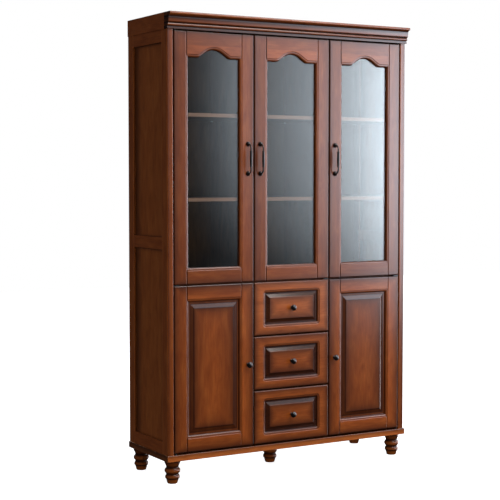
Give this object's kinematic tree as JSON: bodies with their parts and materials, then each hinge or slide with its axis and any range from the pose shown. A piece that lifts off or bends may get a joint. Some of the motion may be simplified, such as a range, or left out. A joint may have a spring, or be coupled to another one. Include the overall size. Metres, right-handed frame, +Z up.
{
  "type": "bookcase with glass doors",
  "caption": "Tall free-standing wooden bookcase with arched glass doors above panelled cupboards and a bank of drawers, on turned feet under a moulded cornice.",
  "frame": {"origin": "on the floor under the centre foot, in the middle of the carcass plan", "axes": "+Z up, +X to the right seen from the front, +Y to the back; the doors face -Y"},
  "size_m": [1.25, 0.416, 2],
  "materials": {
    "stained_wood": "reddish-brown stain under satin lacquer, edges and recesses glazed darker",
    "inner_wood": "same stain, duller, inside the carcass",
    "plain_board": "thin board with a light stain",
    "clear_glass": "clear float glass",
    "black_metal": "black lacquer, satin",
    "plated_steel": "zinc plated",
    "catch_plastic": "brown moulded housing"
  },
  "bodies": {
    "carcass": {"feet": "stained_wood", "foot_bolts": "plated_steel", "cornice_sides": "stained_wood", "top_board": "inner_wood", "back_panels": "plain_board", "upper_shelves": "inner_wood", "cupboard_shelves": "inner_wood", "shelf_pins": "plated_steel", "left_side_stiles": "stained_wood", "left_side_rails": "stained_wood", "left_side_panels": "stained_wood", "right_side_stiles": "stained_wood", "right_side_rails": "stained_wood", "right_side_panels": "stained_wood", "upper_partitions": "inner_wood", "door_pivots": "black_metal", "middle_deck": "inner_wood", "cornice_moulding": "stained_wood", "base_board": "stained_wood", "magnetic_catches": "catch_plastic", "slide_rails": "plated_steel", "lower_partitions": "inner_wood"},
    "left_glass_door": {"left_glass_door_stiles": "stained_wood", "left_glass_door_top_rail": "stained_wood", "left_glass_door_bottom_rail": "stained_wood", "left_glass_door_pane": "clear_glass", "left_glass_door_glazing_beads": "stained_wood", "left_glass_door_handle": "black_metal"},
    "middle_glass_door": {"middle_glass_door_stiles": "stained_wood", "middle_glass_door_top_rail": "stained_wood", "middle_glass_door_bottom_rail": "stained_wood", "middle_glass_door_pane": "clear_glass", "middle_glass_door_glazing_beads": "stained_wood", "middle_glass_door_handle": "black_metal"},
    "right_glass_door": {"right_glass_door_stiles": "stained_wood", "right_glass_door_top_rail": "stained_wood", "right_glass_door_bottom_rail": "stained_wood", "right_glass_door_pane": "clear_glass", "right_glass_door_glazing_beads": "stained_wood", "right_glass_door_handle": "black_metal"},
    "left_cupboard_door": {"left_cupboard_door_stiles": "stained_wood", "left_cupboard_door_rails": "stained_wood", "left_cupboard_door_panel": "stained_wood", "left_cupboard_door_knob": "black_metal"},
    "right_cupboard_door": {"right_cupboard_door_stiles": "stained_wood", "right_cupboard_door_rails": "stained_wood", "right_cupboard_door_panel": "stained_wood", "right_cupboard_door_knob": "black_metal"},
    "bottom_drawer": {"bottom_drawer_front": "stained_wood", "bottom_drawer_box": "plain_board", "bottom_drawer_knob": "black_metal", "bottom_drawer_slides": "plated_steel"},
    "middle_drawer": {"middle_drawer_front": "stained_wood", "middle_drawer_box": "plain_board", "middle_drawer_knob": "black_metal", "middle_drawer_slides": "plated_steel"},
    "top_drawer": {"top_drawer_front": "stained_wood", "top_drawer_box": "plain_board", "top_drawer_knob": "black_metal", "top_drawer_slides": "plated_steel"}
  },
  "joints": [
    {"name": "left_glass_door_hinge", "type": "hinge", "parent": "carcass", "child": "left_glass_door", "pos_m": [-0.581, -0.183, 1.3895], "axis": [0, 0, -1], "range_deg": [0, 105]},
    {"name": "middle_glass_door_hinge", "type": "hinge", "parent": "carcass", "child": "middle_glass_door", "pos_m": [0.18733, -0.183, 1.3895], "axis": [0, 0, 1], "range_deg": [0, 90]},
    {"name": "right_glass_door_hinge", "type": "hinge", "parent": "carcass", "child": "right_glass_door", "pos_m": [0.581, -0.183, 1.3895], "axis": [0, 0, 1], "range_deg": [0, 105]},
    {"name": "left_cupboard_door_hinge", "type": "hinge", "parent": "carcass", "child": "left_cupboard_door", "pos_m": [-0.581, -0.183, 0.49], "axis": [0, 0, -1], "range_deg": [0, 105]},
    {"name": "right_cupboard_door_hinge", "type": "hinge", "parent": "carcass", "child": "right_cupboard_door", "pos_m": [0.581, -0.183, 0.49], "axis": [0, 0, 1], "range_deg": [0, 105]},
    {"name": "bottom_drawer_slide", "type": "slide", "parent": "carcass", "child": "bottom_drawer", "axis": [0, -1, 0], "range_m": [0, 0.22]},
    {"name": "middle_drawer_slide", "type": "slide", "parent": "carcass", "child": "middle_drawer", "axis": [0, -1, 0], "range_m": [0, 0.22]},
    {"name": "top_drawer_slide", "type": "slide", "parent": "carcass", "child": "top_drawer", "axis": [0, -1, 0], "range_m": [0, 0.22]}
  ]
}
